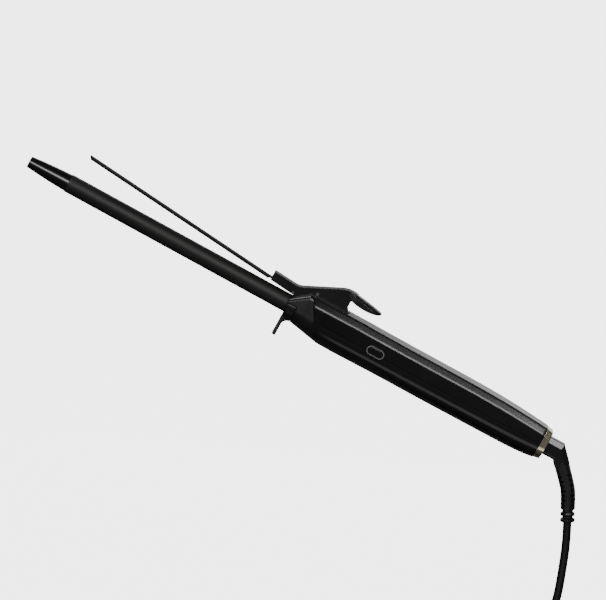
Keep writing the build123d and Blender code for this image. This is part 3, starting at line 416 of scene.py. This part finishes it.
def turned_sleeve(name, sides, rings):
    """A closed round piece along +Z, its skin extruded ring by ring from (height, radius) pairs."""
    bpy.ops.object.select_all(action="DESELECT")
    height, radius = rings[0]
    bpy.ops.mesh.primitive_circle_add(vertices=sides, radius=radius, fill_type="NGON", location=(0, 0, height))
    sleeve = bpy.context.object
    sleeve.name = name
    bpy.ops.object.transform_apply(location=True, rotation=True, scale=True)
    bpy.ops.object.mode_set(mode="EDIT")
    bpy.ops.mesh.select_all(action="SELECT")
    for next_height, next_radius in rings[1:]:
        bpy.ops.mesh.extrude_region_move(TRANSFORM_OT_translate={"value": (0, 0, next_height - height)})
        share = next_radius / radius
        bpy.ops.transform.resize(value=(share, share, 1), center_override=(0, 0, next_height))
        height, radius = next_height, next_radius
    bpy.ops.mesh.select_all(action="SELECT")
    bpy.ops.mesh.normals_make_consistent(inside=False)
    bpy.ops.object.mode_set(mode="OBJECT")
    return sleeve


def laid_along(piece, points, steps):
    """Bends a piece made along +Z on to a smooth line through the given control points, and applies it."""
    guide = smooth_line(piece.name + "_line", points, steps)
    bpy.context.view_layer.objects.active = piece
    bending = piece.modifiers.new("bending", "CURVE")
    bending.object = guide
    bending.deform_axis = "POS_Z"
    bpy.ops.object.modifier_apply(modifier="bending")
    bpy.data.objects.remove(guide)


boot_line = [
    (0.09660, 0.0, -0.05930),
    (0.09800, 0.0, -0.06480),
    (0.09965, 0.0, -0.07140),
    (0.10120, 0.0, -0.07800),
    (0.10130, 0.0, -0.08450),
    (0.10110, 0.0, -0.09200),
    (0.10090, 0.0, -0.09990),
]
smooth_part = 0.0086
slot_height = 0.00165
web_height = 0.00175
slot_rows = 7
rings = [(0.0, 0.00520), (0.0040, 0.00522), (smooth_part, 0.00512)]
height = smooth_part
for row in range(slot_rows):
    slim = 0.00510 - 0.00003 * row
    rings += [(height + slot_height, slim), (height + slot_height + web_height, slim)]
    height += slot_height + web_height
slots_end = height
rings += [
    (slots_end + 0.0004, 0.0048),
    (slots_end + 0.0008, 0.0037),
    (slots_end + 0.0022, 0.0037),
    (slots_end + 0.0026, 0.0046),
    (slots_end + 0.0031, 0.0049),
    (slots_end + 0.0043, 0.0049),
    (slots_end + 0.0048, 0.0045),
    (slots_end + 0.0051, 0.0036),
    (slots_end + 0.0063, 0.0036),
    (slots_end + 0.0066, 0.0046),
    (slots_end + 0.0071, 0.0050),
    (slots_end + 0.0085, 0.0050),
    (slots_end + 0.0091, 0.0046),
    (slots_end + 0.0092, 0.0032),
]
sleeve = turned_sleeve("strain_relief_sleeve", 32, rings)
bpy.ops.object.mode_set(mode="EDIT")
bpy.ops.mesh.select_all(action="DESELECT")
cage = bmesh.from_edit_mesh(sleeve.data)
for face in cage.faces:
    middle = face.calc_center_median()
    if not smooth_part < middle.z < slots_end or abs(face.normal.z) > 0.5:
        continue
    row, along = divmod(middle.z - smooth_part, slot_height + web_height)
    sector = degrees(atan2(middle.y, middle.x)) % 90.0
    low = 8.0 if int(row) % 2 else 26.0
    face.select = along < slot_height and low < sector < low + 56.0
bmesh.update_edit_mesh(sleeve.data)
bpy.ops.mesh.inset(thickness=0.00018, use_even_offset=True)
bpy.ops.mesh.extrude_region_move()
bpy.ops.transform.shrink_fatten(value=-0.0016)
bpy.ops.mesh.select_all(action="SELECT")
bpy.ops.mesh.normals_make_consistent(inside=False)
bpy.ops.object.mode_set(mode="OBJECT")
sleeve_length = rings[-1][0]
laid_along(sleeve, boot_line, 16)
bpy.ops.object.shade_smooth_by_angle(angle=radians(35))
soft_pvc = moulded_plastic("soft_pvc", (0.004, 0.004, 0.0043), 0.36, 1500.0, 0.25, edge=0.0)
sleeve.data.materials.append(soft_pvc)
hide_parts("strain_relief")
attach(sleeve, "swivel")

# Plug: a flat two-pin plug moulded round its pins, with finger recesses on both faces and a ribbed sleeve
# where the lead goes in. The pins are nickel-plated brass in half-length insulating collars.
plug_low, plug_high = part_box("plug_body")
pins_low, pins_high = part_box("plug_pins")
plug_face_x = pins_high.x
plug_z = (pins_low.z + pins_high.z) / 2
plug_length = 0.035
plug_half = (plug_high.y - plug_low.y) / 2 - 0.0001
plug_height = (plug_high.z - plug_low.z) / 2
plug_neck = 0.0080
plug_middle = (plug_face_x + plug_length / 2, 0, plug_z)
plug = block("plug_moulding", plug_middle, (plug_length, 2 * plug_half, 2 * plug_height))
bpy.ops.object.mode_set(mode="EDIT")
choose(plug, "faces", lambda face: face.normal.x > 0.9)
bpy.ops.transform.translate(value=(-plug_neck, 0, 0))
bpy.ops.mesh.extrude_region_move(TRANSFORM_OT_translate={"value": (plug_neck, 0, 0)})
bpy.ops.transform.resize(value=(1, 0.50, 0.82), center_override=(0, 0, plug_z))


def along_side(edge):
    return all(abs(abs(vertex.co.y) - plug_half) < 0.0004 for vertex in edge.verts) and reach_in_x(edge) > 0.01


choose(plug, "edges", along_side)
bpy.ops.mesh.bevel(offset=0.0052, segments=3, affect="EDGES")
neck_start = plug_face_x + plug_length - 0.009
for sign in (-1, 1):
    choose(plug, "faces", lambda face: face.normal.z * sign > 0.95 and face.calc_center_median().x < neck_start)
    bpy.ops.mesh.inset(thickness=0.0045)
    bpy.ops.mesh.inset(thickness=0.0006)
    bpy.ops.transform.translate(value=(0, 0, -0.0009 * sign))
bpy.ops.object.mode_set(mode="OBJECT")
round_over = plug.modifiers.new("round_over", "BEVEL")
round_over.width = 0.0009
round_over.segments = 3
round_over.angle_limit = radians(25)
bpy.ops.object.modifier_apply(modifier="round_over")
bpy.ops.object.shade_smooth_by_angle(angle=radians(32))

rings = [(0.0, 0.0052), (0.0010, 0.0052)]
for rib in range(7):
    start = 0.0022 + rib * 0.0033
    radius = 0.0050 - rib * 0.00022
    rings += [
        (start, radius),
        (start + 0.0004, radius - 0.0009),
        (start + 0.0014, radius - 0.0009),
        (start + 0.0018, radius - 0.0001),
    ]
rings += [(0.0262, 0.0036), (0.0268, 0.0031)]
plug_sleeve = turned_sleeve("plug_sleeve", 24, rings)
sleeve_start = plug_face_x + plug_length - 0.0004
laid_along(
    plug_sleeve,
    [
        (sleeve_start, 0.0, plug_z),
        (sleeve_start + 0.009, 0.0, plug_z - 0.0006),
        (sleeve_start + 0.018, 0.0, layer_z(0) + 0.0002),
        (sleeve_start + 0.0275, 0.0, layer_z(0)),
    ],
    12,
)
bpy.ops.object.shade_smooth_by_angle(angle=radians(35))
plug_plastic = moulded_plastic("plug_plastic", (0.006, 0.006, 0.0065), 0.48, 1100.0, 0.5, edge=0.0)
for piece in (plug, plug_sleeve):
    piece.data.materials.append(plug_plastic)
    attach(piece, "handle")
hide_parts("plug_body")


def wear_finish(material, *names):
    """Puts one material on CAD nodes."""
    for name in names:
        node[name].data.materials.clear()
        node[name].data.materials.append(material)


pin_metal, shade, shader = finish_of("plated_pin", (0.72, 0.71, 0.69), 0.2, 1.0)
place = shade.place()
along = shade.node("ShaderNodeSeparateXYZ", {}, Vector=place)
collar = along.step(plug_face_x - 0.0102, plug_face_x - 0.0099)
scratch = shade.noise(place, 900.0, Detail=4.0)
tint = collar.between((0.72, 0.71, 0.69), (0.008, 0.008, 0.009))
feed(shade, shader, Base_Color=tint, Metallic=1.0 - collar, Roughness=collar * 0.25 + scratch * 0.15 + 0.12)
wear_finish(pin_metal, "plug_pins")

# Barrel: drawn aluminium tube with a matte ceramic coat, baked on, and a glossy moulded tip that stays
# cool enough to hold, pressed into its end.
iron_tilt = radians(28.7)


def along_iron(shade, place, **values):
    """Places turned so that x runs along the iron and z stands square to it."""
    return shade.node("ShaderNodeMapping", {}, Vector=place, Rotation=(0.0, -iron_tilt, 0.0), **values)


barrel_coat, shade, shader = finish_of("barrel_coat", (0.012, 0.0118, 0.0115), 0.5, Specular_IOR_Level=0.3)
place = shade.place()
turned = along_iron(shade, place, Scale=(60.0, 700.0, 700.0))
drawn = shade.noise(turned, 2.0, Detail=2.0)
speck = shade.noise(place, 2600.0, Detail=3.0)
warm = shade.noise(place, 22.0, Detail=3.0)
tint = (warm * 0.6 + speck * 0.4).between((0.007, 0.0069, 0.0067), (0.014, 0.0137, 0.0131))
bump = shade.node("ShaderNodeBump", {}, Height=speck + drawn * 0.3, Strength=0.35, Distance=0.00006)
feed(shade, shader, Base_Color=tint, Roughness=(speck - 0.5) * 0.12 + (warm - 0.5) * 0.08 + 0.52, Normal=bump)
wear_finish(barrel_coat, "barrel_tube")

tip_tone = (0.003, 0.003, 0.0032)
tip_gloss = moulded_plastic("tip_gloss", tip_tone, 0.24, 600.0, 0.04, coat=0.25, spread=0.04, wear=0.15)
wear_finish(tip_gloss, "cool_tip")

# Heater: a ceramic pack clamped between two half-round aluminium spreaders, with a bead thermistor, a
# thermal fuse and silicone-covered leads. All of it is closed in by the barrel.
ceramic, shade, shader = finish_of("heater_ceramic", (0.78, 0.75, 0.68), 0.6)
place = shade.place()
clay = shade.noise(place, 500.0, Detail=4.0)
tint = clay.between((0.70, 0.66, 0.58), (0.84, 0.81, 0.75))
bump = shade.node("ShaderNodeBump", {}, Height=clay, Strength=0.3, Distance=0.0001)
feed(shade, shader, Base_Color=tint, Normal=bump)
wear_finish(ceramic, "heater_core")


def plain_metal(name, tone, roughness, brushed=(400.0, 400.0, 400.0), depth=0.15):
    """Bare metal with fine drawn or rolled lines and a slow change of sheen."""
    material, shade, shader = finish_of(name, tone, roughness, 1.0)
    place = shade.place()
    lines = shade.node("ShaderNodeMapping", {}, Vector=place, Scale=brushed)
    fine = shade.noise(lines, 4.0, Detail=3.0)
    cloud = shade.noise(place, 120.0, Detail=2.0)
    tint = cloud.between([part * 0.82 for part in tone], tone)
    bump = shade.node("ShaderNodeBump", {}, Height=fine, Strength=depth, Distance=0.00003)
    feed(shade, shader, Base_Color=tint, Roughness=(fine - 0.5) * 0.12 + roughness, Normal=bump)
    return material


aluminium = plain_metal("extruded_aluminium", (0.70, 0.70, 0.72), 0.38)
wear_finish(aluminium, "heat_spreader_upper", "heat_spreader_lower")

amber, shade, shader = finish_of("glass_sleeve", (0.42, 0.20, 0.06), 0.12, Coat_Weight=0.6)
place = shade.place()
cloud = shade.noise(place, 600.0, Detail=2.0)
tint = cloud.between((0.30, 0.12, 0.03), (0.50, 0.27, 0.09))
feed(shade, shader, Base_Color=tint)
wear_finish(amber, "thermistor")

silicone, shade, shader = finish_of("silicone_cover", (0.72, 0.70, 0.66), 0.55)
place = shade.place()
dust = shade.noise(place, 300.0, Detail=3.0)
tint = dust.between((0.64, 0.61, 0.56), (0.76, 0.74, 0.70))
feed(shade, shader, Base_Color=tint, Roughness=dust * 0.2 + 0.45)
wear_finish(silicone, "heater_leads", "supply_leads")

zinc = plain_metal("zinc_steel", (0.60, 0.60, 0.59), 0.32)
wear_finish(zinc, "thermal_fuse", "shell_screws", "hinge_bracket", "bracket_screws", "lever_spring")

# Stand, saddle and nose: heat-resistant glass-filled nylon. The stand's leg keeps the hot barrel off the
# table, and the nose covers the saddle that holds the barrel.
satin_black = moulded_plastic("satin_nylon", (0.0048, 0.0048, 0.0050), 0.30, 1300.0, 0.3, edge=0.0010)
wear_finish(satin_black, "stand_collar", "nose_cone")
dark_resin = moulded_plastic("dark_resin", (0.030, 0.025, 0.021), 0.5, 700.0, 0.5, edge=0.0002)
wear_finish(dark_resin, "barrel_saddle", "swivel_housing", "swivel_core")

# Handle: two half shells and a tail cover in semi-gloss black, joined on a line along the side. The
# slope below the deck has a fine mould texture.
shell_tone = (0.0042, 0.0042, 0.0045)
shell_black, shade, shader = finish_of("shell_black", shell_tone, 0.25, Coat_Weight=0.15, Coat_Roughness=0.2)
place = shade.place()
upright = along_iron(shade, place)
height_on_handle = shade.node("ShaderNodeSeparateXYZ", {}, out=2, Vector=upright)
textured = height_on_handle.step(0.0088, 0.0096)
drift = shade.noise(place, 40.0, Detail=3.0)
pores = shade.node("ShaderNodeTexVoronoi", {}, Vector=place, Scale=1500.0)
fine = shade.noise(place, 2400.0, Detail=2.0)
rub = shade.noise(place, 22.0, Detail=5.0, Roughness=0.7).step(0.55, 0.75)
tint = (rub * 0.4 + textured * 0.3).between((0.0038, 0.0038, 0.0041), (0.0085, 0.0085, 0.0090))
flat_side = shade.node("ShaderNodeNewGeometry", {}, out=1)
rounded = shade.node("ShaderNodeBevel", {"samples": 8}, Radius=0.0025)
above_seam = height_on_handle.step(0.004, 0.005)
softened = shade.node("ShaderNodeMix", {"data_type": "VECTOR"}, out=1, _0=above_seam, _4=flat_side, _5=rounded)
grain = textured * pores * 0.8 + fine * 0.25
bump = shade.node("ShaderNodeBump", {}, Height=grain, Strength=0.12, Distance=0.00006, Normal=softened)
feed(
    shade,
    shader,
    Base_Color=tint,
    Roughness=(drift - 0.5) * 0.05 + textured * 0.06 + rub * 0.04 + 0.19,
    Normal=bump,
)
wear_finish(shell_black, "handle_upper_shell", "handle_lower_shell", "tail_cover")

# Clip: a sprung blade of coated steel, hooked and riveted into a moulded thumb lever that turns on a
# blackened pin.
lever_tone = (0.0045, 0.0045, 0.0048)
lever_black = moulded_plastic("lever_black", lever_tone, 0.27, 1600.0, 0.25, edge=0.0005, coat=0.2)
wear_finish(lever_black, "thumb_lever")
blade_coat = moulded_plastic("blade_coat", (0.007, 0.007, 0.0072), 0.52, 2200.0, 0.1, edge=0.0, spread=0.1)
blade_coat.node_tree.nodes["Principled BSDF"].inputs["Specular IOR Level"].default_value = 0.2
wear_finish(blade_coat, "clip_blade")
dark_steel = plain_metal("blackened_steel", (0.20, 0.20, 0.205), 0.34)
wear_finish(dark_steel, "hinge_pin", "blade_rivet")

# Power button: a gloss cap in a thin satin bezel pressed into the side of the shells. It works a tact
# switch on the control board, a small glass-fibre board with a green mask.
wear_finish(plain_metal("satin_bezel", (0.34, 0.34, 0.35), 0.34), "button_bezel")
button_tone = (0.0032, 0.0032, 0.0034)
button_gloss = moulded_plastic("button_gloss", button_tone, 0.18, 900.0, 0.08, edge=0.0003, coat=0.3)
wear_finish(button_gloss, "power_button")

board_green, shade, shader = finish_of("solder_mask", (0.02, 0.16, 0.07), 0.3, Coat_Weight=0.4)
place = shade.place()
upright = along_iron(shade, place, Scale=(420.0, 1.0, 420.0))
track_cells = {"distance": "MANHATTAN", "feature": "DISTANCE_TO_EDGE"}
tracks = shade.node("ShaderNodeTexVoronoi", track_cells, Vector=upright, Scale=1.0)
copper = 1.0 - tracks.step(0.10, 0.14)
tint = copper.between((0.015, 0.13, 0.055), (0.04, 0.24, 0.11))
feed(
    shade,
    shader,
    Base_Color=tint,
    Normal=shade.node("ShaderNodeBump", {}, Height=copper, Strength=0.3, Distance=0.00005),
)
wear_finish(board_green, "control_board")
component = moulded_plastic("component_body", (0.02, 0.02, 0.021), 0.45, 800.0, 0.4, edge=0.0)
wear_finish(component, "tact_switch", "board_parts")

# End ring: die-cast zinc, polished and plated in a pale gold. It closes the rear end of the shells,
# and the neck of the swivel turns in its hole.
ring_gold, shade, shader = finish_of("pale_gold", (0.83, 0.73, 0.52), 0.16, 1.0)
place = shade.place()
hair = along_iron(shade, place, Scale=(2600.0, 60.0, 60.0))
brushed = shade.noise(hair, 1.0, Detail=3.0)
haze = shade.noise(place, 160.0, Detail=3.0)
tint = haze.between((0.76, 0.65, 0.44), (0.88, 0.80, 0.60))
bump = shade.node(
    "ShaderNodeBump",
    {},
    Height=brushed,
    Strength=0.12,
    Distance=0.00003,
    Normal=shade.node("ShaderNodeBevel", {"samples": 16}, Radius=0.0003),
)
feed(shade, shader, Base_Color=tint, Roughness=brushed * 0.10 + haze * 0.06 + 0.09, Normal=bump)
wear_finish(ring_gold, "end_ring")

# Swivel: brass rings on a resin core turn in the housing against sprung contacts, so that the elbow can
# follow the hand without twisting the lead.
brass = plain_metal("bare_brass", (0.72, 0.54, 0.25), 0.28)
wear_finish(brass, "slip_rings", "contact_springs")
elbow_black = moulded_plastic("elbow_black", (0.0042, 0.0042, 0.0045), 0.24, 1500.0, 0.2, edge=0.0007, coat=0.2)
wear_finish(elbow_black, "swivel_elbow")
